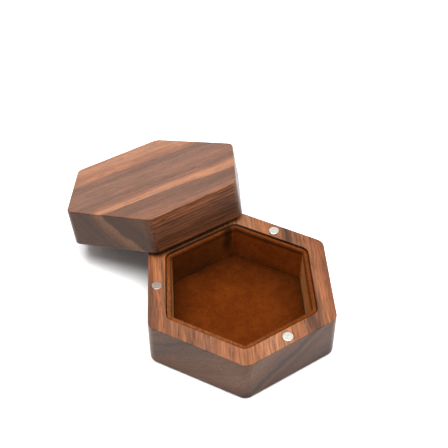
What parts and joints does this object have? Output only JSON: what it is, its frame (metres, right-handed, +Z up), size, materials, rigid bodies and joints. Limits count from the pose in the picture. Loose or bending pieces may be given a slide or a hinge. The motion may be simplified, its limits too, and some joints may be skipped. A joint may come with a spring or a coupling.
{
  "type": "ring box",
  "caption": "Hexagonal solid-wood ring box with a suede-lined pocket and a lift-off magnetic lid, shown leaning on the base.",
  "frame": {"origin": "centre of the base's underside, on the surface the box stands on", "axes": "+Z up; +Y from the base towards the leaning lid, square to the side that the lid leans on; +X along that side"},
  "size_m": [0.0852, 0.1436, 0.0394],
  "materials": {
    "walnut": "oiled solid walnut, satin",
    "suede": "cognac suede with a soft brushed nap",
    "greyboard": "plain grey board",
    "nickel": "bright nickel plate"
  },
  "bodies": {
    "base": {"base_shell": "walnut", "base_magnet_1": "nickel", "base_magnet_2": "nickel", "base_magnet_3": "nickel", "base_wall_suede": "suede", "base_wall_card_1": "greyboard", "base_wall_card_2": "greyboard", "base_wall_card_3": "greyboard", "base_wall_card_4": "greyboard", "base_wall_card_5": "greyboard", "base_wall_card_6": "greyboard", "base_floor_suede": "suede", "base_floor_card": "greyboard"},
    "lid": {"lid_shell": "walnut", "lid_magnet_1": "nickel", "lid_magnet_2": "nickel", "lid_magnet_3": "nickel", "lid_wall_suede": "suede", "lid_wall_card_1": "greyboard", "lid_wall_card_2": "greyboard", "lid_wall_card_3": "greyboard", "lid_wall_card_4": "greyboard", "lid_wall_card_5": "greyboard", "lid_wall_card_6": "greyboard", "lid_ceiling_suede": "suede", "lid_ceiling_card": "greyboard"}
  },
  "joints": [
    {"name": "lid_lift", "type": "slide", "parent": "base", "child": "lid", "axis": [0, 0, 1], "range_m": [0, 0.06]}
  ]
}
